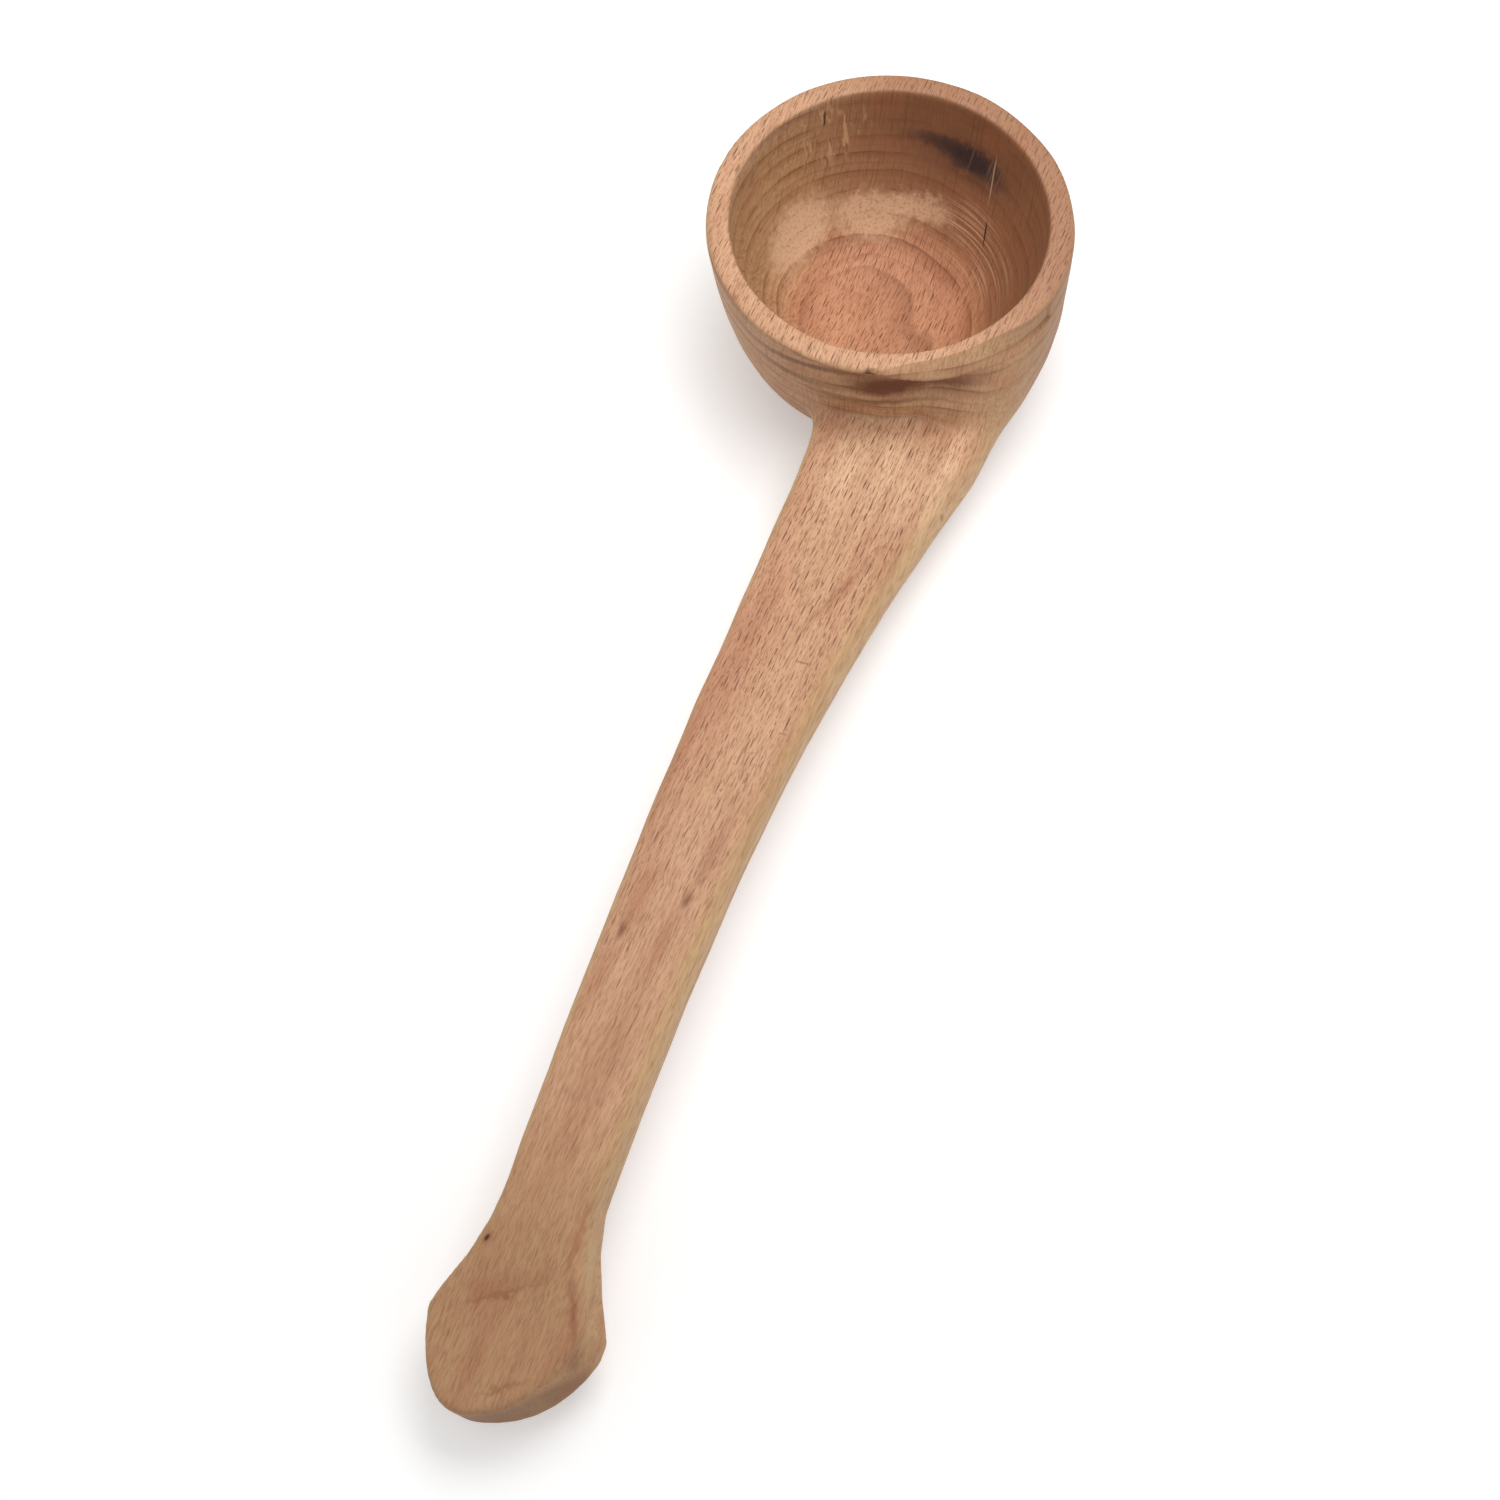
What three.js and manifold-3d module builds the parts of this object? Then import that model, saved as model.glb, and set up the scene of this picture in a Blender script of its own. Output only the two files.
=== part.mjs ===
// A kitchen ladle carved from one block of beech, in millimetres.
//
// The origin is the middle of the bowl's foot, on the table. +Z goes up out of the mouth and
// the handle runs along -Y. The bowl is turned round its own axis, the handle is sawn to a plan
// outline and a side outline and then rounded over, and the hollow is cut last.

import * as THREE from 'three';
import { mergeVertices } from 'three/addons/utils/BufferGeometryUtils.js';
import Module from 'manifold-3d';

// Bowl, measured from its axis and from the table.
const rimRadius = 43;
const rimWidth = 5.6;
const rimOuterRound = 1.4;
const rimInnerRound = 0.7;
const bowlHeight = 50;
const floorThickness = 8.5;
const footRadius = 15;
const bowlFullness = 3.7;
const bowlShoulder = 1.3;
const hollowFullness = 2.6;
const hollowShoulder = 1.6;
const hollowFlatRadius = 7;

// Handle in plan: the reach is from the bowl's axis to the tip, the neck and the hip are beyond
// the rim, and sideways sizes are from the Y axis.
const handleReach = 279.4;
const neckBeyondRim = 7;
const neckLeft = 4.4;
const notchDepth = 4.7;
const notchRun = 17;
const hipBeyondRim = 23;
const hipRight = 14.2;
const flankBulge = 0.6;
const flankRun = 38;
const waistBack = 49.4;
const waistLeft = 11.4;
const waistRight = 8.0;

// The flared end, measured back from the tip: a hollow before each corner, the heel at the left,
// the toe at the right and a slanted, rounded end between them.
const heelHollowBack = 35;
const heelHollowLeft = 10.6;
const heelBack = 20.1;
const heelLeft = 19.4;
const endLeftBack = -1.6;
const endLeft = 14.4;
const endRightBack = 3.9;
const endRight = 7.3;
const toeBack = 20.8;
const toeRight = 17.9;
const toeHollowBack = 38.8;
const toeHollowRight = 7.9;

// Handle from the side: heights of its top above the table, and how thick it is.
const rootTop = 27.2;
const rootRise = 3;
const crestTop = 32.5;
const crestAt = 145;
const waistTop = 27.5;
const heelTop = 20.7;
const tipTop = 16.5;
const tipSlope = 0.375;
const rootThickness = 20;
const crestThickness = 18.5;
const endThickness = 18;

// Edges of the handle: the left one is crisper and the right one is rolled well over, tighter
// again where it runs into the flank. At the flared end both are crisp, the top is twisted and
// its right side leans inwards.
const leftRound = 3;
const flankRightRound = 2.5;
const neckRightRound = 8;
const rightRound = 6;
const endTopRound = 1.5;
const neckUnderRound = 9;
const underRound = 6.5;
const endLean = 2.4;
const endTwist = 9;
const twistRun = 60;

// The flank: the bowl's wall swells out to the handle's right edge. Angles are round the bowl's
// axis, in degrees from +X; heights are from the table.
const flankStartAngle = -66;
const flankFullAngle = -31;
const flankEndAngle = 70;
const flankFrontTop = 28;
const flankSideTop = 44;
const flankEdgeRound = 4;
const flankHollowRun = 14;
const flankLow = 2;
const flankFrontFullHeight = 20;
const flankFullHeight = 24;

// Fineness of the facets.
const bowlSegments = 90;
const acrossSteps = 16;

const neckAt = rimRadius + neckBeyondRim;
const waistAt = handleReach - waistBack;
const heelAt = handleReach - heelBack;

const manifoldLibrary = await Module();
manifoldLibrary.setup();

function clamp01(value) {
  return Math.min(1, Math.max(0, value));
}

function smoothStep(from, to, value) {
  const share = clamp01((value - from) / (to - from));
  return share * share * (3 - 2 * share);
}

function mix(a, b, share) {
  return a + (b - a) * share;
}

// Direction of a place seen from the bowl's axis, in degrees from +X.
function angleAt(x, y) {
  return THREE.MathUtils.radToDeg(Math.atan2(y, x));
}

// Joins corners that lie within a small distance of each other and drops empty triangles.
function welded(geometry, distance) {
  const bare = geometry.clone();
  bare.deleteAttribute('normal');
  bare.deleteAttribute('uv');
  const merged = mergeVertices(bare, distance);
  const corners = merged.index.array;
  const kept = [];
  for (let i = 0; i < corners.length; i += 3) {
    const [a, b, c] = [corners[i], corners[i + 1], corners[i + 2]];
    if (a !== b && b !== c && c !== a) {
      kept.push(a, b, c);
    }
  }
  merged.setIndex(kept);
  return merged;
}

function solidFrom(geometry) {
  const closed = welded(geometry, 1e-4);
  const mesh = new manifoldLibrary.Mesh({
    numProp: 3,
    vertProperties: new Float32Array(closed.attributes.position.array),
    triVerts: new Uint32Array(closed.index.array),
  });
  return new manifoldLibrary.Manifold(mesh);
}

function geometryFrom(solid) {
  const mesh = solid.getMesh();
  const cut = new THREE.BufferGeometry();
  cut.setAttribute('position', new THREE.BufferAttribute(mesh.vertProperties, 3));
  cut.setIndex(new THREE.BufferAttribute(mesh.triVerts, 1));
  const geometry = welded(cut, 0.002);
  geometry.computeVertexNormals();
  return geometry;
}

// Half width of a rounded bowl form at a share of its depth below the top: a superellipse that
// stands on a flat middle.
function bowlRadiusAt(depthShare, flatRadius, topRadius, shoulder, fullness) {
  const open = 1 - Math.pow(clamp01(depthShare), shoulder);
  return flatRadius + (topRadius - flatRadius) * Math.pow(open, 1 / fullness);
}

function outsideRadius(height) {
  const share = (bowlHeight - height) / bowlHeight;
  return bowlRadiusAt(share, footRadius, rimRadius, bowlShoulder, bowlFullness);
}

// Solid through a stack of matching closed loops, with the first loop filled from its middle.
// Each facet pair is split along its shorter diagonal, so that curved places come out smooth.
function stacked(loops) {
  const corners = [];
  const addFacets = (...points) => {
    for (const point of points) {
      corners.push(point.x, point.y, point.z);
    }
  };
  const first = loops[0];
  const middle = new THREE.Vector3();
  first.forEach((point) => middle.addScaledVector(point, 1 / first.length));
  for (let j = 0; j < first.length; j += 1) {
    const next = (j + 1) % first.length;
    addFacets(middle, first[next], first[j]);
    for (let i = 1; i < loops.length; i += 1) {
      const [a, b, c, d] = [loops[i - 1][j], loops[i - 1][next], loops[i][next], loops[i][j]];
      if (a.distanceTo(c) < b.distanceTo(d)) {
        addFacets(a, b, c, a, c, d);
      } else {
        addFacets(a, b, d, b, c, d);
      }
    }
  }
  const geometry = new THREE.BufferGeometry();
  geometry.setAttribute('position', new THREE.Float32BufferAttribute(corners, 3));
  return solidFrom(geometry);
}

// A form turned round the bowl's axis that stands out by the swell, given in degrees and height.
function turned(profile, swell) {
  const loops = profile.map((point) => {
    const loop = [];
    for (let segment = 0; segment < bowlSegments; segment += 1) {
      const turn = (2 * Math.PI * segment) / bowlSegments - Math.PI;
      const radius = point.x === 0 ? 0 : point.x + swell(THREE.MathUtils.radToDeg(turn), point.y);
      loop.push(new THREE.Vector3(radius * Math.cos(turn), radius * Math.sin(turn), point.y));
    }
    return loop;
  });
  return stacked(loops);
}

// Quarter-round points from one level edge to the next.
function roundedEdge(centreRadius, centreHeight, radius, startAngle, endAngle, steps) {
  const points = [];
  for (let step = 0; step <= steps; step += 1) {
    const angle = mix(startAngle, endAngle, step / steps);
    points.push(new THREE.Vector2(
      centreRadius + radius * Math.cos(angle),
      centreHeight + radius * Math.sin(angle),
    ));
  }
  return points;
}

// The handle's right edge where it sweeps out to the bowl's side.
const flankX = rimRadius + flankBulge;
const flankCurve = new THREE.CubicBezierCurve(
  new THREE.Vector2(waistRight, -waistAt),
  new THREE.Vector2(hipRight, -rimRadius - hipBeyondRim),
  new THREE.Vector2(flankX, -flankRun),
  new THREE.Vector2(flankX, 0),
);

// How far out the flank reaches in one direction from the bowl's axis.
function flankRadius(angle) {
  if (angle >= 0) {
    return mix(flankX, outsideRadius(rootTop), smoothStep(0, flankEndAngle, angle));
  }
  const points = flankCurve.getPoints(120).reverse();
  const outer = points.find((point) => angleAt(point.x, point.y) <= angle);
  return outer.length();
}

// How far the flank stands out from the turned bowl at a direction and a height.
function flankSwell(angle, height) {
  const front = smoothStep(flankStartAngle, flankFullAngle, angle);
  const back = 1 - smoothStep(flankEndAngle / 2, flankEndAngle, angle);
  if (front * back === 0) {
    return 0;
  }
  const wallTop = mix(flankFrontTop, flankSideTop, smoothStep(flankStartAngle, 0, angle));
  const hollow = 1 - smoothStep(wallTop - flankEdgeRound, wallTop + flankHollowRun, height);
  const fullHeight = mix(flankFrontFullHeight, flankFullHeight, smoothStep(flankFullAngle, 0, angle));
  const low = smoothStep(flankLow, fullHeight, height);
  const standing = flankRadius(angle) - outsideRadius(Math.max(height, fullHeight));
  return ((standing + Math.hypot(standing, 1)) / 2) * front * back * hollow * low;
}

function bowlBody() {
  const levels = 22;
  const profile = [];
  for (let level = 0; level <= levels; level += 1) {
    const share = Math.sin((Math.PI / 2) * (1 - level / levels));
    const height = bowlHeight * (1 - share);
    if (height < bowlHeight - rimOuterRound) {
      profile.push(new THREE.Vector2(outsideRadius(height), height));
    }
  }
  const edgeCentre = outsideRadius(bowlHeight - rimOuterRound) - rimOuterRound;
  profile.push(...roundedEdge(edgeCentre, bowlHeight - rimOuterRound, rimOuterRound, 0, Math.PI / 2, 4));
  profile.push(new THREE.Vector2(0, bowlHeight));
  return turned(profile, flankSwell);
}

function bowlHollow() {
  const levels = 15;
  const mouthRadius = rimRadius - rimWidth;
  const depth = bowlHeight - floorThickness;
  const clearance = 3;
  const profile = [new THREE.Vector2(0, floorThickness)];
  for (let level = 0; level <= levels; level += 1) {
    const share = Math.sin((Math.PI / 2) * (1 - level / levels));
    if (share * depth > rimInnerRound) {
      const radius = bowlRadiusAt(share, hollowFlatRadius, mouthRadius, hollowShoulder, hollowFullness);
      profile.push(new THREE.Vector2(radius, bowlHeight - share * depth));
    }
  }
  const lipRadius = mouthRadius + rimInnerRound;
  const lip = roundedEdge(lipRadius, bowlHeight - rimInnerRound, rimInnerRound, Math.PI, Math.PI / 2, 3);
  profile.push(...lip);
  profile.push(new THREE.Vector2(lipRadius, bowlHeight + clearance));
  profile.push(new THREE.Vector2(0, bowlHeight + clearance));
  return turned(profile, () => 0);
}

// The handle's edge seen from above, from its left root round the flared end to its right root.
// The left edge meets the bowl in a notch; the right one runs into the flank.
function handleEdge() {
  const edge = new THREE.Path();
  const rootEnd = new THREE.Vector2(0.56 * rimRadius, -0.19 * rimRadius);
  const buryAngle = 15;
  const buryDepth = 3;
  const leftRoot = -neckLeft - notchDepth;
  edge.moveTo(leftRoot, rootEnd.y);
  edge.lineTo(leftRoot, notchRun - neckAt);
  edge.quadraticCurveTo(-neckLeft, 0.55 * notchRun - neckAt, -neckLeft, -neckAt);
  const leftStart = -neckAt - 0.13 * (waistAt - neckAt);
  const leftEnd = -waistAt + 0.41 * (waistAt - neckAt);
  edge.bezierCurveTo(-neckLeft, leftStart, -waistLeft, leftEnd, -waistLeft, -waistAt);
  const back = (side, distance) => new THREE.Vector2(side, distance - handleReach);
  const corners = [
    { point: back(-heelHollowLeft, heelHollowBack), toNext: 0.85 },
    { point: back(-heelLeft, heelBack), toNext: 0.12 },
    { point: back(-endLeft, endLeftBack), toNext: 0.51 },
    { point: back(endRight, endRightBack), toNext: 0.57 },
    { point: back(toeRight, toeBack), toNext: 0.24 },
    { point: back(toeHollowRight, toeHollowBack), toNext: 1 },
    { point: back(waistRight, waistBack) },
  ];
  for (let i = 1; i < corners.length; i += 1) {
    const { point, toNext } = corners[i - 1];
    const end = point.clone().lerp(corners[i].point, toNext);
    edge.quadraticCurveTo(point.x, point.y, end.x, end.y);
  }
  const flankPoints = flankCurve.getPoints(32);
  const outside = flankPoints.filter((point) => angleAt(point.x, point.y) < flankFullAngle + buryAngle);
  for (const point of outside) {
    const inward = smoothStep(flankFullAngle, flankFullAngle + buryAngle, angleAt(point.x, point.y));
    point.x -= buryDepth * inward;
  }
  return [...edge.getPoints(16), ...outside.slice(1), rootEnd];
}

const edgePoints = handleEdge();
const tipIndex = edgePoints.reduce((best, point, i) => (point.y < edgePoints[best].y ? i : best), 0);
const leftEdge = edgePoints.slice(0, tipIndex + 1);
const rightEdge = edgePoints.slice(tipIndex).reverse();
const tipY = edgePoints[tipIndex].y;
const rootY = edgePoints[0].y;

// Sideways place of one edge at a distance along the handle.
function edgeAt(points, y) {
  for (let i = 1; i < points.length; i += 1) {
    const [a, b] = [points[i - 1], points[i]];
    if (y <= a.y && y >= b.y) {
      return a.y === b.y ? b.x : mix(a.x, b.x, (a.y - y) / (a.y - b.y));
    }
  }
  return points[points.length - 1].x;
}

function distanceToEdge(x, y) {
  let best = Infinity;
  for (let i = 1; i < edgePoints.length; i += 1) {
    const [a, b] = [edgePoints[i - 1], edgePoints[i]];
    const along = b.clone().sub(a);
    const share = clamp01(((x - a.x) * along.x + (y - a.y) * along.y) / along.lengthSq());
    best = Math.min(best, Math.hypot(x - a.x - share * along.x, y - a.y - share * along.y));
  }
  return best;
}

// Side outline: the top rises gently from the root to a crest and then droops to the tip.
const overrun = 12;
const topLine = new THREE.SplineCurve([
  new THREE.Vector2(-rimRadius, rootTop - rootRise),
  new THREE.Vector2(neckAt, rootTop),
  new THREE.Vector2(crestAt, crestTop),
  new THREE.Vector2(waistAt, waistTop),
  new THREE.Vector2(heelAt, heelTop),
  new THREE.Vector2(handleReach, tipTop),
  new THREE.Vector2(handleReach + overrun, tipTop - tipSlope * overrun),
]).getPoints(120);

function topHeight(run) {
  for (let i = 1; i < topLine.length; i += 1) {
    const [a, b] = [topLine[i - 1], topLine[i]];
    if (run >= a.x && run <= b.x) {
      return mix(a.y, b.y, (run - a.x) / (b.x - a.x));
    }
  }
  return tipTop;
}

function thicknessAt(run) {
  const root = mix(0.3 * rootThickness, rootThickness, smoothStep(0.1 * neckAt, neckAt, run));
  const towardsCrest = mix(root, crestThickness, smoothStep(neckAt, crestAt, run));
  return mix(towardsCrest, endThickness, smoothStep(waistAt, heelAt, run));
}

// Drop of a rounded edge at a distance inside the outline.
function roundOver(distance, radius) {
  const short = Math.max(0, radius - distance);
  return radius - Math.sqrt(Math.max(0, radius * radius - short * short));
}

function handleHeights(x, y, onRight) {
  const run = -y;
  const distance = distanceToEdge(x, y);
  const rolled = mix(neckRightRound, rightRound, smoothStep(neckAt, crestAt, run));
  const rightSide = mix(flankRightRound, rolled, smoothStep(0.5 * neckAt, neckAt + notchRun, run));
  const sideRound = onRight ? rightSide : leftRound;
  const edgeRound = mix(sideRound, endTopRound, smoothStep(waistAt - twistRun / 2, heelAt, run));
  const lowerRound = mix(neckUnderRound, underRound, smoothStep(neckAt, crestAt, run));
  const top = topHeight(run) - roundOver(distance, edgeRound);
  const under = Math.max(0, topHeight(run) - thicknessAt(run)) + roundOver(distance, lowerRound);
  return { top, under: Math.min(under, top) };
}

// Stations along the handle: close together at the root and round the end, wider between.
function handleStations() {
  const rootSteps = 20;
  const evenSteps = 26;
  const endSteps = 9;
  const endRun = 22;
  const stations = [];
  for (let step = 0; step < rootSteps; step += 1) {
    stations.push(mix(rootY, -neckAt, step / rootSteps));
  }
  for (let step = 0; step < evenSteps; step += 1) {
    stations.push(mix(-neckAt, tipY + endRun, step / evenSteps));
  }
  for (let step = 0; step <= endSteps; step += 1) {
    stations.push(tipY + endRun * (1 - Math.sin((Math.PI / 2) * (step / endSteps))));
  }
  return stations;
}

// One cross-section as a closed loop: over the top from right to left, back under the handle.
function handleSection(y) {
  const left = edgeAt(leftEdge, y);
  const right = edgeAt(rightEdge, y);
  const middle = (left + right) / 2;
  const twist = THREE.MathUtils.degToRad(endTwist * smoothStep(waistAt - twistRun, heelAt, -y));
  const pivot = topHeight(-y) - thicknessAt(-y) / 2;
  const turn = (x, z) => new THREE.Vector3(
    middle + (x - middle) * Math.cos(twist) - (z - pivot) * Math.sin(twist),
    y,
    Math.max(0, pivot + (x - middle) * Math.sin(twist) + (z - pivot) * Math.cos(twist)),
  );
  const fullWidth = heelLeft + toeRight;
  const lean = endLean * smoothStep(waistAt, heelAt, -y) * clamp01((right - left) / fullWidth);
  const over = [];
  const back = [];
  for (let step = 0; step <= acrossSteps; step += 1) {
    const side = Math.sin(Math.PI * (step / acrossSteps - 0.5));
    const x = middle + (side * (right - left)) / 2;
    const { top, under } = handleHeights(x, y, side > 0);
    over.unshift(turn(x - lean * clamp01(side), top));
    back.push(turn(x, under));
  }
  return [...over, ...back];
}

const beech = new THREE.MeshStandardMaterial({ color: '#c99873', roughness: 0.62, metalness: 0 });
beech.name = 'beech';

const handleBody = stacked(handleStations().map(handleSection));
const ladleSolid = bowlBody().add(handleBody).subtract(bowlHollow());
const ladle = new THREE.Mesh(geometryFrom(ladleSolid), beech);
ladle.name = 'ladle';

const part = new THREE.Group();
part.add(ladle);

export default part;
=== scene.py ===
# A beech ladle lying on a white table. It is one carved piece, so nearly all that follows
# dresses that piece: first its skin, then the wood, then the table, the light and the camera.

import math

import bpy
import numpy as np
from mathutils import Matrix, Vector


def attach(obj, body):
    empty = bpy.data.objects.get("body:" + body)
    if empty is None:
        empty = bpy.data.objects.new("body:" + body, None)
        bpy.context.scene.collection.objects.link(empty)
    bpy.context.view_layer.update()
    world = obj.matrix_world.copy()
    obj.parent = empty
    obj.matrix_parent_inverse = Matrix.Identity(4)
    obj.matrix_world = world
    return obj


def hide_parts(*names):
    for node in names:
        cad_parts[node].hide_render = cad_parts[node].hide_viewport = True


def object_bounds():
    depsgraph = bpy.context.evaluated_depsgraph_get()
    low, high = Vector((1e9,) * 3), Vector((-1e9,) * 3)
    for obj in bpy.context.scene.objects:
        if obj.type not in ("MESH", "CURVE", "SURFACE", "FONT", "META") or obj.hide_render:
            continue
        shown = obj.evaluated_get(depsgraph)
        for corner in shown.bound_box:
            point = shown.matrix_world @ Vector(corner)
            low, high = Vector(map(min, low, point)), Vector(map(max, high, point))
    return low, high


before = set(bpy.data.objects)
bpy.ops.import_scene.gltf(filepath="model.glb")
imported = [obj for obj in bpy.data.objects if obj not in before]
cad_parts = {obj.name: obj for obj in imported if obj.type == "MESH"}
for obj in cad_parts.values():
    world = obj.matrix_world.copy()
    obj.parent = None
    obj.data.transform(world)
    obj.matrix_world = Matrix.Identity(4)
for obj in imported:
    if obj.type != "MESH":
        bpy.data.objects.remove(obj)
cad_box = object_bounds()

# Ladle: bowl, flank and arched handle, cut from one block of beech.
# The hollow is turned, the outside is shaped with knife and rasp and then sanded, so the flat
# facets of the solid are relaxed into an even skin that keeps the arrises of the rim.
MM = 0.001
SKIN_GRID = 0.7
RIM_HEIGHT = 50

ladle = bpy.data.objects.new("carved_ladle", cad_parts["ladle"].data.copy())
bpy.context.scene.collection.objects.link(ladle)
even_skin = ladle.modifiers.new("even_skin", "REMESH")
even_skin.mode = "VOXEL"
even_skin.voxel_size = SKIN_GRID * MM
bpy.context.view_layer.update()
skin = bpy.data.meshes.new_from_object(
    ladle.evaluated_get(bpy.context.evaluated_depsgraph_get())
)
ladle.modifiers.clear()
ladle.data = skin
skin.name = "carved_ladle"

corner_count = len(skin.vertices)
flat = np.empty(corner_count * 3, np.float32)
skin.vertices.foreach_get("co", flat)
points = flat.reshape(-1, 3).astype(float) / MM
ends = np.empty(len(skin.edges) * 2, np.int32)
skin.edges.foreach_get("vertices", ends)
ends = ends.reshape(-1, 2)
neighbours = np.bincount(ends.ravel(), minlength=corner_count)


def rise(start, end, value):
    """0 before start, 1 after end and a smooth curve between, for arrays of millimetres."""
    share = np.clip((value - start) / (end - start), 0, 1)
    return share * share * (3 - 2 * share)


def towards_neighbours(places):
    """The step from each point of the skin to the middle of the points round it."""
    total = np.empty_like(places)
    for axis in range(3):
        total[:, axis] = np.bincount(ends[:, 0], places[ends[:, 1], axis], corner_count)
        total[:, axis] += np.bincount(ends[:, 1], places[ends[:, 0], axis], corner_count)
    return total / neighbours[:, None] - places


def outward(places):
    """Which way the skin faces at each point."""
    skin.vertices.foreach_set("co", (places * MM).astype(np.float32).ravel())
    skin.update()
    facing = np.empty(corner_count * 3, np.float32)
    skin.vertex_normals.foreach_get("vector", facing)
    return facing.reshape(-1, 3).astype(float)


WAVE_COUNT = 14


def waves(places, length, seed):
    """Gentle swells of about that length, mostly between -1 and 1, the same on every run."""
    rng = np.random.default_rng(seed)
    total = np.zeros(len(places))
    for _ in range(WAVE_COUNT):
        way = rng.normal(size=3)
        way *= 2 * math.pi / (length * rng.uniform(0.7, 1.5) * np.linalg.norm(way))
        total += np.sin(places @ way + rng.uniform(0, 2 * math.pi))
    return total / (WAVE_COUNT / 2)


# Sanding: each round pulls the skin smooth and pushes it back out by a little more, so it
# doesn't shrink. The rim with its two arrises, up from 46.5 mm and out from 34 mm, moves less.
SANDING_ROUNDS = 14
PULL = 0.5
PUSH = 0.52
radius = np.hypot(points[:, 0], points[:, 1])
on_rim = rise(46.5, 48.5, points[:, 2]) * rise(34, 36, radius)
softness = (1 - 0.8 * on_rim)[:, None]
for _ in range(SANDING_ROUNDS):
    points += PULL * softness * towards_neighbours(points)
    points -= PUSH * softness * towards_neighbours(points)

# The knife left soft curves where faces meet: two long ones where the handle runs up into the
# flank, a tight one in the notch at the left and a small fillet all along the crease.
for middle, inner, outer, rounds in (
    ((38.0, -32.0, 31.0), 6, 17, 150),
    ((40.0, -26.0, 19.0), 7, 19, 120),
    ((-8.0, -39.5, 21.0), 3, 10, 45),
    ((8.0, -41.0, 27.0), 8, 20, 10),
):
    blend = 1 - rise(inner, outer, np.linalg.norm(points - middle, axis=1))
    blend *= 1 - on_rim
    for _ in range(rounds):
        points += PULL * blend[:, None] * towards_neighbours(points)

# Right of the middle the rim is cut back to a slanted facet, and the knife went in under it, so
# that the facet ends in a lip over a shallow cove. There is a chip where the lip starts. Angles
# go round the bowl in degrees: 0 is its right and -90 its front, where the handle starts.
FACET_WIDTH = 2.9
FACET_RADIUS = 43.2
LIP_HEIGHT = 48.6
LIP_DROP = 4.6
COVE_DEPTH = 3.0
CHIP_PLACE = (8.2, -42.3, 49.6)
CHIP_SIZE = (2.4, 1.6, 1.5)
CHIP_DEPTH = 0.9
angle = np.degrees(np.arctan2(points[:, 1], points[:, 0]))
radius = np.hypot(points[:, 0], points[:, 1])
lip_height = LIP_HEIGHT - LIP_DROP * rise(-84, -52, angle) + 0.35 * waves(points, 9, 3)
facet = FACET_WIDTH * rise(-86, -64, angle) * (1 - rise(-44, -16, angle))
above_lip = np.clip((points[:, 2] - lip_height) / (RIM_HEIGHT - lip_height), 0, 1)
facet_radius = FACET_RADIUS - facet * above_lip
outside = rise(36.9, 37.6, radius) * (above_lip > 0)
depth = outside * np.maximum(0, radius - facet_radius) * (facet > 0)
below_lip = lip_height - points[:, 2]
hollowing = rise(0, 1.8, below_lip) * (1 - rise(5, 15, below_lip))
on_wall = rise(38.2, 38.9, radius) * (1 - rise(45.5, 47, radius))
cove_span = rise(-122, -84, angle) * (1 - rise(-62, -38, angle))
depth += COVE_DEPTH * cove_span * hollowing * on_wall
chip = np.linalg.norm((points - CHIP_PLACE) / CHIP_SIZE, axis=1)
depth += CHIP_DEPTH * (1 - rise(0.3, 1, chip))
points[:, :2] *= (1 - depth / np.maximum(radius, 1))[:, None]
for _ in range(2):
    points += 0.35 * (cove_span * on_wall)[:, None] * towards_neighbours(points)

# Hand work: the faces swell and dip by a tenth or two of a millimetre, the rim's top less.
SWELL_HEIGHT = 0.16
RIPPLE_HEIGHT = 0.05
facing = outward(points)
rim_top = on_rim * rise(0.7, 0.95, facing[:, 2])
uneven = SWELL_HEIGHT * waves(points, 26, 11) + RIPPLE_HEIGHT * waves(points, 9, 12)
points += facing * (uneven * (1 - 0.8 * rim_top))[:, None]
low, high = (np.array(corner) / MM for corner in cad_box)
points = np.clip(points, low, high)
outward(points)
skin.shade_smooth()

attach(ladle, "root")
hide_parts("ladle")

# Beech, flat-sawn, sanded with a middling grit and left bare, with no oil or lacquer.
# The eye sees pinkish tan wood with short dark ray flecks along the grain on its level faces,
# growth layers as level contour lines round the bowl, and paler yellowish sides.
beech = bpy.data.materials.new("bare_sanded_beech")
beech.use_nodes = True
beech.node_tree.nodes.clear()


def linear(hex_colour):
    """The linear colour of an sRGB hex value."""
    channels = [int(hex_colour[i : i + 2], 16) / 255 for i in (1, 3, 5)]
    bent = [c / 12.92 if c <= 0.04045 else ((c + 0.055) / 1.055) ** 2.4 for c in channels]
    return (*bent, 1.0)


def add(material, kind, inputs=(), out=0, **settings):
    """Adds a node with its settings and links, and gives one of its outputs."""
    tree = material.node_tree
    made = tree.nodes.new(kind)
    for name, value in settings.items():
        setattr(made, name, value)
    for socket, value in dict(inputs).items():
        if isinstance(value, bpy.types.NodeSocket):
            tree.links.new(value, made.inputs[socket])
        else:
            made.inputs[socket].default_value = value
    return made.outputs[out] if len(made.outputs) else None


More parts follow.
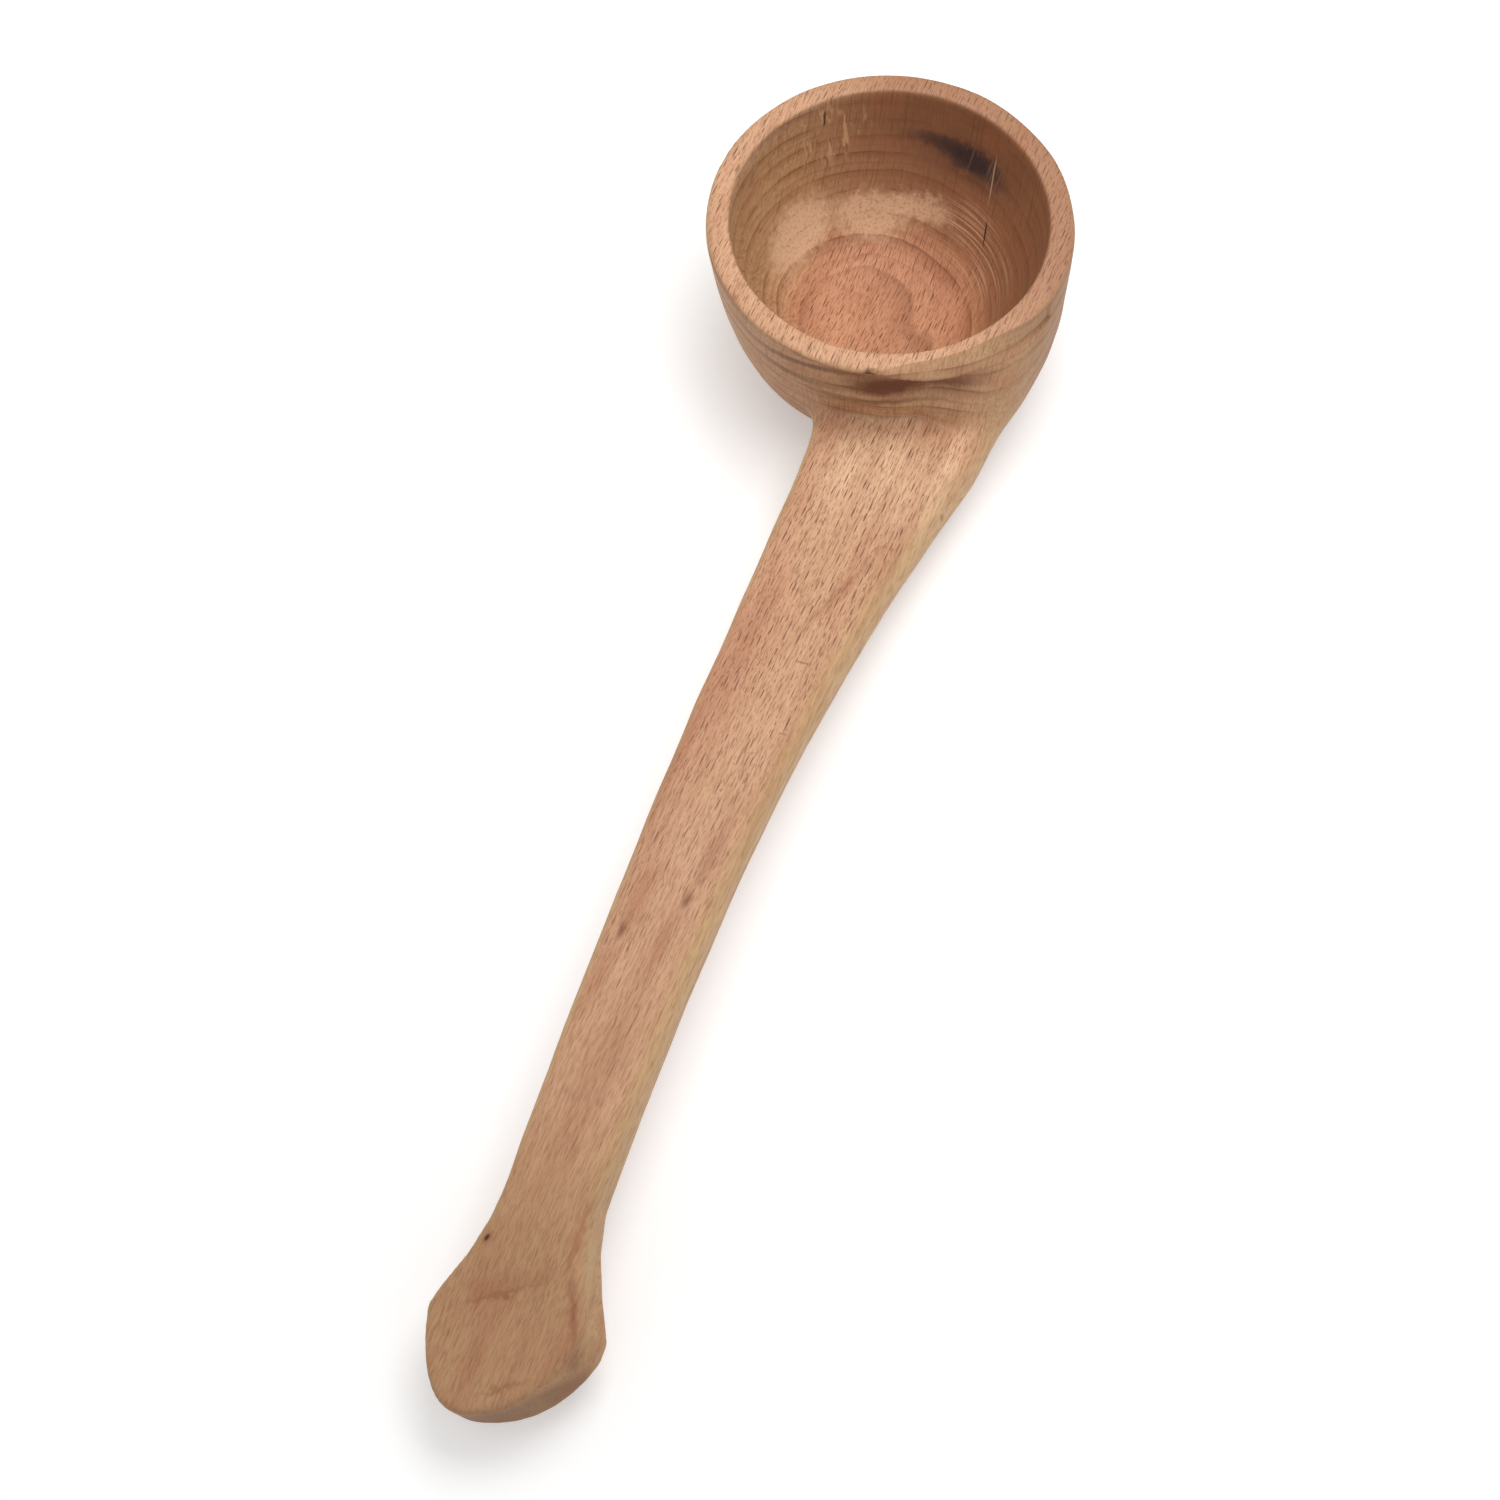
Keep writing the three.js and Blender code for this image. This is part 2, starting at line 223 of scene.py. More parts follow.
# Places in the wood in millimetres: x across the grain, y along it, z through the layers.
# The grain leans 5.75 degrees off the handle's line.
GRAIN_LEAN = 5.75
place = add(beech, "ShaderNodeTexCoord", out="Object")
place = add(beech, "ShaderNodeVectorMath", {0: place, 3: 1000.0}, operation="SCALE")
axes = add(beech, "ShaderNodeSeparateXYZ", {0: place})
height = axes.node.outputs["Z"]
along_handle = axes.node.outputs["Y"]
turned = (0, 0, math.radians(GRAIN_LEAN))
grain = add(beech, "ShaderNodeMapping", {"Vector": place, "Rotation": turned})
faces = add(beech, "ShaderNodeTexCoord", out="Normal")
upward = add(beech, "ShaderNodeSeparateXYZ", {0: faces}, out="Z")
faces = add(beech, "ShaderNodeMapping", {"Vector": faces, "Rotation": turned})
faces = add(beech, "ShaderNodeVectorMath", {0: faces}, operation="ABSOLUTE")
faces = add(beech, "ShaderNodeSeparateXYZ", {0: faces})
side_face = add(
    beech,
    "ShaderNodeMapRange",
    {"Value": faces, "From Min": 0.35, "From Max": 0.9},
    interpolation_type="SMOOTHSTEP",
)
end_face = add(
    beech,
    "ShaderNodeMapRange",
    {"Value": faces.node.outputs["Y"], "From Min": 0.35, "From Max": 0.9},
    interpolation_type="SMOOTHSTEP",
)

# Regions of the piece: the bowl as against the handle, the hollow, and the flared end.
spoke = add(beech, "ShaderNodeVectorMath", {0: place, 1: (1, 1, 0)}, operation="MULTIPLY")
spoke = add(beech, "ShaderNodeVectorMath", {0: spoke}, out="Value", operation="LENGTH")
bowl = add(beech, "ShaderNodeMapRange", {"Value": spoke, "From Min": 47.5, "From Max": 43.8})
inside = add(beech, "ShaderNodeMapRange", {"Value": spoke, "From Min": 37.9, "From Max": 37.3})
open_up = add(beech, "ShaderNodeMapRange", {"Value": upward, "From Min": -0.02, "From Max": 0.05})
hollow = add(beech, "ShaderNodeMath", {0: inside, 1: open_up}, operation="MULTIPLY")
elsewhere = add(beech, "ShaderNodeMath", {0: 1.0, 1: hollow}, operation="SUBTRACT")
flared_end = add(
    beech,
    "ShaderNodeMapRange",
    {"Value": along_handle, "From Min": -205, "From Max": -245},
    interpolation_type="SMOOTHSTEP",
)

# The tree's own waviness bends the layers by a millimetre or two, slowly along the grain and
# faster across it.
swell = add(beech, "ShaderNodeMapping", {"Vector": grain, "Scale": (1 / 30, 1 / 80, 1 / 26)})
swell = add(beech, "ShaderNodeTexNoise", {"Vector": swell, "Scale": 1, "Detail": 3.5}, out="Color")
wavy = add(
    beech,
    "ShaderNodeVectorMath",
    {0: swell, 1: (2.0, 0.0, 5.5), 2: grain},
    operation="MULTIPLY_ADD",
)

# Growth layers 5 mm thick lie nearly level; across the bowl they dip to the back. Each ends in
# a darker late-wood line, some strong and some faint, with a finer and weaker set between. They
# show on the bowl, broken in places, and hardly at all on the rim's level top.
dip = add(beech, "ShaderNodeMath", {0: along_handle, 1: -42.0}, operation="MAXIMUM")
level = add(
    beech,
    "ShaderNodeVectorMath",
    {0: wavy, 1: (0.047, 0.0, 1.0)},
    out="Value",
    operation="DOT_PRODUCT",
)
level = add(beech, "ShaderNodeMath", {0: dip, 1: 0.105, 2: level}, operation="MULTIPLY_ADD")
broken = add(beech, "ShaderNodeTexNoise", {"Vector": place, "Scale": 1 / 13, "Detail": 1.0})
late_wood = None
for thickness, start, faintest, strongest in ((5.0, 2.7, 0.5, 1.0), (1.7, 0.6, 0.05, 0.6)):
    layer = add(beech, "ShaderNodeMath", {0: level, 1: start}, operation="SUBTRACT")
    layer = add(beech, "ShaderNodeMath", {0: layer, 1: thickness}, operation="DIVIDE")
    within = add(beech, "ShaderNodeMath", {0: layer}, operation="FRACT")
    number = add(beech, "ShaderNodeMath", {0: layer}, operation="FLOOR")
    number = add(beech, "ShaderNodeTexWhiteNoise", {"W": number}, noise_dimensions="1D")
    strength = add(
        beech, "ShaderNodeMapRange", {"Value": number, "To Min": faintest, "To Max": strongest}
    )
    darkening = add(
        beech,
        "ShaderNodeMapRange",
        {"Value": within, "From Min": 0.45, "From Max": 0.93, "To Max": 0.55},
        interpolation_type="SMOOTHERSTEP",
    )
    line = add(
        beech,
        "ShaderNodeMapRange",
        {"Value": within, "From Min": 0.84, "From Max": 0.95, "To Max": 0.45},
        interpolation_type="SMOOTHSTEP",
    )
    darkening = add(beech, "ShaderNodeMath", {0: darkening, 1: line}, operation="ADD")
    ending = add(beech, "ShaderNodeMapRange", {"Value": within, "From Min": 1.0, "From Max": 0.96})
    shade = add(beech, "ShaderNodeMath", {0: darkening, 1: ending}, operation="MULTIPLY")
    shade = add(beech, "ShaderNodeMath", {0: shade, 1: strength}, operation="MULTIPLY")
    if late_wood is None:
        late_wood = shade
    else:
        late_wood = add(beech, "ShaderNodeMath", {0: late_wood, 1: shade}, operation="MAXIMUM")
showing = add(
    beech,
    "ShaderNodeMapRange",
    {"Value": broken, "From Min": 0.28, "From Max": 0.55, "To Min": 0.2},
)
under_rim = add(
    beech,
    "ShaderNodeMapRange",
    {"Value": height, "From Min": 49.9, "From Max": 48.7, "To Min": 0.1},
)
for share in (showing, bowl, under_rim):
    late_wood = add(beech, "ShaderNodeMath", {0: late_wood, 1: share}, operation="MULTIPLY")

# Fibres run along the grain. The real ones are too fine to show, so they are drawn 0.3 to
# 0.5 mm wide. Streaks are wider and longer, and clouds are patches 3 cm across.
fibre = add(beech, "ShaderNodeMapping", {"Vector": wavy, "Scale": (1 / 0.45, 1 / 9, 1 / 1.6)})
fibre = add(beech, "ShaderNodeTexNoise", {"Vector": fibre, "Scale": 1, "Detail": 2.5})
pores = add(beech, "ShaderNodeMapping", {"Vector": grain, "Scale": (1 / 0.34, 1 / 3.2, 1 / 0.8)})
pores = add(beech, "ShaderNodeTexNoise", {"Vector": pores, "Scale": 1, "Detail": 1})
streak = add(beech, "ShaderNodeMapping", {"Vector": wavy, "Scale": (1 / 5.5, 1 / 75, 1 / 5.5)})
streak = add(beech, "ShaderNodeTexNoise", {"Vector": streak, "Scale": 1, "Detail": 2})
cloud = add(beech, "ShaderNodeTexNoise", {"Vector": place, "Scale": 1 / 30, "Detail": 2.0})

# Medullary rays: upright ribbons of cells. A level face cuts them to dark flecks 2 to 4 mm
# long and about a quarter of a millimetre wide, some 17 to the square centimetre, with smaller
# ones between. They are fainter towards the handle's end and on steep faces, less so in the
# hollow. On the steep front and back of the bowl the ribbons stand as fine upright lines.
flecks = []
for across, along, half_width, half_length, dark in (
    (1.5, 4.0, 0.18, 2.0, 1.0),
    (0.85, 2.1, 0.13, 0.8, 0.75),
):
    cells = (1 / across, 1 / along, 1 / 38)
    spread = add(beech, "ShaderNodeMapping", {"Vector": grain, "Scale": cells})
    nearest = add(beech, "ShaderNodeTexVoronoi", {"Vector": spread, "Scale": 1}, out="Position")
    chance = add(beech, "ShaderNodeSeparateColor", {0: nearest.node.outputs["Color"]})
    apart = add(beech, "ShaderNodeVectorMath", {0: spread, 1: nearest}, operation="SUBTRACT")
    shape = (across / half_width, along / half_length, 0)
    apart = add(beech, "ShaderNodeVectorMath", {0: apart, 1: shape}, operation="MULTIPLY")
    reach = add(beech, "ShaderNodeVectorMath", {0: apart}, out="Value", operation="LENGTH")
    own_size = add(beech, "ShaderNodeMapRange", {"Value": chance, "To Min": 0.5, "To Max": 1.5})
    fleck = add(
        beech,
        "ShaderNodeMapRange",
        {"Value": reach, "From Min": own_size, "From Max": 0.35},
        interpolation_type="SMOOTHSTEP",
    )
    own_dark = add(
        beech,
        "ShaderNodeMapRange",
        {"Value": chance.node.outputs["Green"], "To Min": 0.25 * dark, "To Max": dark},
    )
    flecks.append(add(beech, "ShaderNodeMath", {0: fleck, 1: own_dark}, operation="MULTIPLY"))
fleck = add(beech, "ShaderNodeMath", {0: flecks[0], 1: flecks[1]}, operation="MAXIMUM")
steep = add(beech, "ShaderNodeMath", {0: side_face, 1: end_face}, operation="MAXIMUM")
steep_share = add(beech, "ShaderNodeMapRange", {"Value": hollow, "To Min": 0.12, "To Max": 0.45})
fleck_share = add(
    beech, "ShaderNodeMapRange", {"Value": steep, "To Min": 1.0, "To Max": steep_share}
)
fleck_fade = add(
    beech,
    "ShaderNodeMapRange",
    {"Value": along_handle, "From Min": -110, "From Max": -235, "To Min": 1.0, "To Max": 0.3},
)
for share in (fleck_share, fleck_fade):
    fleck = add(beech, "ShaderNodeMath", {0: fleck, 1: share}, operation="MULTIPLY")
upright = add(beech, "ShaderNodeMapping", {"Vector": place, "Scale": (1 / 0.5, 1 / 40, 1 / 9)})
upright = add(beech, "ShaderNodeTexNoise", {"Vector": upright, "Scale": 1, "Detail": 1.5})
upright = add(beech, "ShaderNodeMapRange", {"Value": upright, "From Min": 0.55, "From Max": 0.8})
upright = add(beech, "ShaderNodeMath", {0: upright, 1: end_face}, operation="MULTIPLY")

# Colour, from the wide to the fine. The sides of the block are yellower, its end faces browner
# and the flared end of the handle more olive and darker, partly its own tone and partly painted
# shade where it tilts away from the light. A mix has its share at 0, its colours at 6 and 7.
wood = add(
    beech,
    "ShaderNodeMix",
    {0: cloud, 6: linear("#d8a684"), 7: linear("#cfa17a")},
    out=2,
    data_type="RGBA",
)
for region, most, tint in (
    (side_face, 0.8, "#d6b07e"),
    (end_face, 0.6, "#bd946b"),
    # the flared end's darkening is partly painted shade
    (flared_end, 0.6, "#b68c60"),
):
    share = add(beech, "ShaderNodeMath", {0: region, 1: most}, operation="MULTIPLY")
    wood = add(
        beech, "ShaderNodeMix", {0: share, 6: wood, 7: linear(tint)}, out=2, data_type="RGBA"
    )

# The heart side of the block, at the back and right of the bowl, is browner. In the hollow that
# brown is pushed further and the hollow's walls are a little browner all round, which is painted
# shade for the hollow's recess; its floor is orange.
heart_and_hollow_shade = add(
    beech,
    "ShaderNodeVectorMath",
    {0: place, 1: (0.72, 0.69, 0.0)},
    out="Value",
    operation="DOT_PRODUCT",
)
heart_and_hollow_shade = add(
    beech,
    "ShaderNodeMapRange",
    {"Value": heart_and_hollow_shade, "From Min": -12, "From Max": 30},
    interpolation_type="SMOOTHSTEP",
)
# the heart's brown goes deeper in the hollow: painted shade for its recess
heart_share_with_hollow_shade = add(beech, "ShaderNodeMapRange", {"Value": hollow, "To Min": 0.65, "To Max": 0.95})
heart_and_hollow_shade = add(beech, "ShaderNodeMath", {0: heart_and_hollow_shade, 1: heart_share_with_hollow_shade}, operation="MULTIPLY")
wood = add(
    beech, "ShaderNodeMix", {0: heart_and_hollow_shade, 6: wood, 7: linear("#8f6043")}, out=2, data_type="RGBA"
)
# the first tint is painted shade on the hollow's walls, the second turns its floor orange
for none_at, all_at, most, tint in ((14, 26, 0.35, "#946e4a"), (20, 10, 0.7, "#dc9c75")):
    share = add(
        beech,
        "ShaderNodeMapRange",
        {"Value": height, "From Min": none_at, "From Max": all_at, "To Max": most},
        interpolation_type="SMOOTHSTEP",
    )
    share = add(beech, "ShaderNodeMath", {0: share, 1: hollow}, operation="MULTIPLY")
    wood = add(
        beech, "ShaderNodeMix", {0: share, 6: wood, 7: linear(tint)}, out=2, data_type="RGBA"
    )

# Some places differ in tint, under the flecks or over them: a blot has its middle and its half
# sizes in millimetres, a turn about the upright in degrees, a colour, a strength, where its
# fade begins, how ragged it is, and the pattern that breaks it up. It stays on its own side of
# the bowl's wall: in the hollow if its middle is within 37 mm of the bowl's own.
HOLLOW_RADIUS = 37
rag = add(beech, "ShaderNodeTexNoise", {"Vector": place, "Scale": 0.5, "Detail": 4}, out="Color")
rag = add(beech, "ShaderNodeVectorMath", {0: rag, 1: (0.5, 0.5, 0.5)}, operation="SUBTRACT")


def tinted(colour, middle, sizes, turn, tint, most, fade, raggedness, pattern):
    """The wood's colour with one more blot on it."""
    shift = (raggedness, raggedness, 0.8 * raggedness)
    spot = add(
        beech, "ShaderNodeVectorMath", {0: rag, 1: shift, 2: place}, operation="MULTIPLY_ADD"
    )
    twist = (0, 0, math.radians(turn))
    near = add(
        beech,
        "ShaderNodeMapping",
        {"Vector": spot, "Location": middle, "Rotation": twist, "Scale": sizes},
        vector_type="TEXTURE",
    )
    reach = add(beech, "ShaderNodeVectorMath", {0: near}, out="Value", operation="LENGTH")
    amount = add(
        beech,
        "ShaderNodeMapRange",
        {"Value": reach, "From Min": fade, "From Max": 1.0, "To Min": most, "To Max": 0.0},
        interpolation_type="SMOOTHSTEP",
    )
    if pattern is not None:
        amount = add(beech, "ShaderNodeMath", {0: amount, 1: pattern}, operation="MULTIPLY")
    own_side = hollow if math.hypot(middle[0], middle[1]) < HOLLOW_RADIUS else elsewhere
    amount = add(beech, "ShaderNodeMath", {0: amount, 1: own_side}, operation="MULTIPLY")
    return add(
        beech, "ShaderNodeMix", {0: amount, 6: colour, 7: linear(tint)}, out=2, data_type="RGBA"
    )


for layer in (
    # the neck is painted paler, a painted highlight with a soft sheen where the light falls
    # brightest, and the wood is redder in a layer along the left of the handle
    ((17.0, -52.0, 28.0), (28, 26, 12), 0, "#efc7a0", 0.7, 0.1, 4, None),
    ((-5.0, -118.0, 31.0), (12, 52, 12), -8, "#b97a5a", 0.45, 0.3, 6, None),
    # a greyer layer comes up along the left of the rim
    ((-33.0, 8.0, 49.0), (13, 42, 4), 0, "#cdae9a", 0.4, 0.3, 3, None),
    # the wall across from the handle, in the hollow's shade, is darkened with painted shade
    ((9.0, 33.0, 42.0), (36, 18, 17), 0, "#5f3f2a", 0.35, 0.2, 5, None),
    # the sawn end of the handle is end grain, which is darker, and it is darkened further with
    # painted shade where it faces away from the light
    ((5.0, -272.0, 9.0), (26, 14, 11), 0, "#74502f", 0.75, 0.6, 2, steep),
):
    wood = tinted(wood, *layer)

# Late wood, streaks, fibres, upright rays and flecks darken the wood towards red-brown.
for pattern, low_end, high_end, tint, most in (
    (late_wood, 0.0, 1.0, "#78472a", 0.82),
    (streak, 0.48, 0.8, "#a9694a", 0.5),
    (fibre, 0.45, 0.85, "#a06a49", 0.55),
    (pores, 0.48, 0.85, "#8e5c40", 0.6),
    (upright, 0.0, 1.0, "#7d5036", 0.6),
    (fleck, 0.0, 1.0, "#6a3926", 0.95),
):
    amount = add(
        beech,
        "ShaderNodeMapRange",
        {"Value": pattern, "From Min": low_end, "From Max": high_end, "To Max": most},
    )
    wood = add(
        beech, "ShaderNodeMix", {0: amount, 6: wood, 7: linear(tint)}, out=2, data_type="RGBA"
    )

# The wall of the hollow unrolled: millimetres round the bowl, then height. The lathe left pale
# arcs low on the right, and the grain tore out in short upright curls high on the back left.
# Scrapes run down through the stain, and a fuzz of fine specks breaks up the scuffed patch.
UNROLLED_RADIUS = 36
round_bowl = add(
    beech, "ShaderNodeMath", {0: along_handle, 1: axes.node.outputs["X"]}, operation="ARCTAN2"
)
round_bowl = add(
    beech, "ShaderNodeMath", {0: round_bowl, 1: UNROLLED_RADIUS}, operation="MULTIPLY"
)
wall = add(beech, "ShaderNodeCombineXYZ", {0: round_bowl, 1: 0.0, 2: height})
arcs = add(beech, "ShaderNodeMapping", {"Vector": wall, "Scale": (1 / 28, 1, 1 / 0.42)})
arcs = add(beech, "ShaderNodeTexNoise", {"Vector": arcs, "Scale": 1, "Detail": 1.5})
arcs = add(beech, "ShaderNodeMapRange", {"Value": arcs, "From Min": 0.5, "From Max": 0.64})
tears = add(beech, "ShaderNodeMapping", {"Vector": wall, "Scale": (1 / 1.5, 1, 1 / 7)})
tears = add(
    beech, "ShaderNodeTexNoise", {"Vector": tears, "Scale": 1, "Detail": 2.0, "Distortion": 0.7}
)
tears = add(beech, "ShaderNodeMapRange", {"Value": tears, "From Min": 0.55, "From Max": 0.62})
scrapes = add(beech, "ShaderNodeMapping", {"Vector": wall, "Scale": (1 / 0.7, 1, 1 / 14)})
scrapes = add(beech, "ShaderNodeTexNoise", {"Vector": scrapes, "Scale": 1, "Detail": 1.0})
scrapes = add(beech, "ShaderNodeMapRange", {"Value": scrapes, "From Min": 0.58, "From Max": 0.7})
fuzz = add(beech, "ShaderNodeTexNoise", {"Vector": place, "Scale": 1.4, "Detail": 3})
fuzz = add(
    beech, "ShaderNodeMapRange", {"Value": fuzz, "From Min": 0.3, "From Max": 0.52, "To Min": 0.35}
)

# Marks in single places, as blots over all the rest.
MARKS = (
    # iron stain on the back wall of the hollow, with its reddish halo
    ((10.0, 32.0, 34.8), (22, 12, 9), -20, "#6d4636", 0.5, 0.1, 4, None),
    ((3.5, 34.4, 37.2), (13, 8, 3.2), -6, "#3a2c2a", 0.75, 0.1, 4, None),
    ((12.5, 31.5, 36.0), (13, 12, 5.6), -24, "#2b2326", 0.92, 0.3, 5, None),
    ((16.0, 31.5, 36.0), (10, 7, 6.5), -28, "#8f7462", 0.4, 0.5, 3, scrapes),
    # scuffed by coarse paper on the left of the hollow, which left the wood pale and fuzzy
    ((-25.0, 11.0, 20.5), (11, 16, 8.5), 0, "#e4bd9a", 0.85, 0.45, 8, fuzz),
    ((-10.0, 23.5, 18.2), (14, 9, 8), 0, "#e2ba97", 0.75, 0.4, 8, fuzz),
    ((1.0, 27.5, 20.0), (12, 6, 5), 0, "#e2ba97", 0.75, 0.3, 8, fuzz),
    # arcs of the lathe tool, torn grain, and a scratch that ends in a hairline crack
    ((19.0, 19.0, 20.0), (21, 22, 9), 0, "#dfb490", 0.6, 0.4, 3, arcs),
    ((-22.5, 26.5, 40.0), (14, 12, 11), 35, "#c9a07a", 0.85, 0.5, 4, tears),
    ((18.35, 29.5, 35.0), (0.28, 9, 8.5), 3, "#d6b08e", 0.6, 0.4, 0, None),
    ((19.3, 23.0, 22.8), (0.3, 4.2, 4.0), 6, "#2a1a14", 0.9, 0.5, 0, None),
    ((-24.1, 27.7, 44.4), (0.35, 3, 3.2), 0, "#33211a", 0.85, 0.5, 1, None),
    # cove under the lip: knife-burnished wood that is darker, with painted shade where the lip
    # overhangs it, and the chip above it
    ((3.0, -41.0, 43.5), (8, 6, 3.2), 8, "#6b3a1e", 0.6, 0.1, 2, None),
    ((12.5, -38.5, 39.8), (15, 8, 4.4), 16, "#67351b", 0.95, 0.3, 3, None),
    ((25.0, -33.0, 39.4), (11, 7, 3.0), 28, "#6b3a1e", 0.8, 0.1, 3, None),
    # dark growth bands across the front wall below the cove, then the chip
    ((6.0, -40.0, 34.8), (26, 10, 1.4), 8, "#6b4326", 0.6, 0.2, 2, None),
    ((-9.0, -41.0, 42.8), (17, 8, 1.7), -8, "#5f422b", 0.65, 0.2, 3, None),
    ((-12.0, -39.0, 37.0), (18, 9, 1.6), -8, "#6f4f33", 0.5, 0.1, 3, None),
    ((7.7, -42.4, 48.9), (2.0, 2.0, 1.4), 0, "#3f2318", 0.8, 0.3, 1, None),
    # two small brown knots with streaks drawn out along the grain
    ((-4.6, -170.0, 31.5), (2.6, 16, 4), -8, "#a4623d", 0.55, 0.0, 2, None),
    ((-7.6, -190.0, 31.0), (2.8, 15, 4), -8, "#a4623d", 0.4, 0.0, 2, None),
    ((7.0, -156.0, 32.0), (3.0, 20, 4), -8, "#9a6240", 0.5, 0.0, 2, None),
    ((3.0, -178.0, 32.0), (2.8, 15, 4), -8, "#a4623d", 0.45, 0.0, 2, None),
    ((-5.9, -178.1, 31.5), (1.2, 3.2, 3), -8, "#6a3a20", 0.8, 0.0, 1, None),
    ((5.1, -167.9, 32.0), (1.4, 3.2, 3), -8, "#744426", 0.75, 0.0, 1, None),
    # a growth line that crosses from the right edge to the middle, and a rough spot beside it
    ((13.8, -89.0, 29.0), (2.0, 30, 8), -24, "#93573b", 0.5, 0.0, 3, None),
    ((31.0, -57.0, 22.0), (0.8, 1.5, 2.6), -30, "#5d3a26", 0.6, 0.2, 2, None),
    # two short scratches over the grain and a pit by the flared end
    ((12.0, -107.3, 31.0), (2.6, 0.32, 3), 4, "#8a5d45", 0.6, 0.3, 1, None),
    ((13.0, -125.2, 32.0), (1.6, 0.3, 3), 8, "#8a5d45", 0.5, 0.3, 1, None),
    ((-12.1, -245.2, 23.3), (1.3, 2.6, 3), -25, "#8a4f33", 0.6, 0.1, 1, None),
    ((-12.1, -245.2, 23.3), (0.6, 1.1, 2), -25, "#3a2318", 0.95, 0.3, 0, None),
    # reddish growth curves over the flared end and along its right arris, then painted shade low
    # on the tip's right side, a paler band on that side and a painted highlight along the left
    # arris
    ((-6.0, -253.0, 21.8), (17, 4.0, 7), 29, "#a2613f", 0.4, 0.0, 5, None),
    ((-6.2, -255.0, 21.2), (16, 1.2, 6), 29, "#8a5334", 0.45, 0.0, 4, None),
    ((0.6, -271.2, 19.0), (10, 1.2, 5), 32, "#8a5334", 0.5, 0.0, 4, None),
    ((6.0, -240.0, 26.0), (1.3, 13, 5), 0, "#94552f", 0.55, 0.0, 2, None),
    ((9.6, -254.0, 23.8), (1.3, 13, 6), 20, "#8a4f2d", 0.6, 0.0, 2, None),
    # painted shade low on the right side of the tip, where it rounds under
    ((12.6, -263.0, 19.0), (3, 6, 5), 15, "#7d4a2c", 0.5, 0.1, 2, None),
    ((9.8, -238.0, 22.0), (2.6, 22, 5), 4, "#cbab7c", 0.5, 0.3, 1, None),
    # painted highlight along the left arris of the flared end
    ((-13.5, -226.0, 26.0), (2.0, 34, 8), -8, "#cf9a6c", 0.5, 0.2, 2, None),
)
for mark in MARKS:
    wood = tinted(wood, *mark)

# Relief: flecks lie a little low, fibres stand a little proud.
relief = add(beech, "ShaderNodeMath", {0: fleck, 1: -1.0, 2: fibre}, operation="MULTIPLY_ADD")
relief = add(beech, "ShaderNodeBump", {"Height": relief, "Strength": 0.8, "Distance": 0.00006})
matt = add(beech, "ShaderNodeMapRange", {"Value": fibre, "To Min": 0.54, "To Max": 0.72})
surface = add(
    beech,
    "ShaderNodeBsdfPrincipled",
    {"Base Color": wood, "Roughness": matt, "Normal": relief, "IOR": 1.45},
)
add(beech, "ShaderNodeOutputMaterial", {"Surface": surface})
skin.materials.clear()
skin.materials.append(beech)

# Table: plain white board that runs out of sight, a hair under the foot. The eye sees an
# even matt white with the ladle's soft shadow on it.
bpy.ops.mesh.primitive_grid_add(x_subdivisions=4, y_subdivisions=4, size=6.0)
table = bpy.context.object
table.name = "table_top"
table.location = (0, 0, -0.05 * MM)
board = bpy.data.materials.new("white_laminate")
board.use_nodes = True
board.node_tree.nodes.clear()
paint = add(board, "ShaderNodeBsdfDiffuse", {"Color": linear("#f8f8f8")})


def where_seen(material):
    """1 for what is looked at, straight, mirrored or through glass, and 0 for lighting."""
    ray = add(material, "ShaderNodeLightPath", out="Is Camera Ray")
    seen = ray
    for kind in ("Is Glossy Ray", "Is Transmission Ray"):
        other = ray.node.outputs[kind]
        seen = add(material, "ShaderNodeMath", {0: seen, 1: other}, operation="MAXIMUM")
    return seen


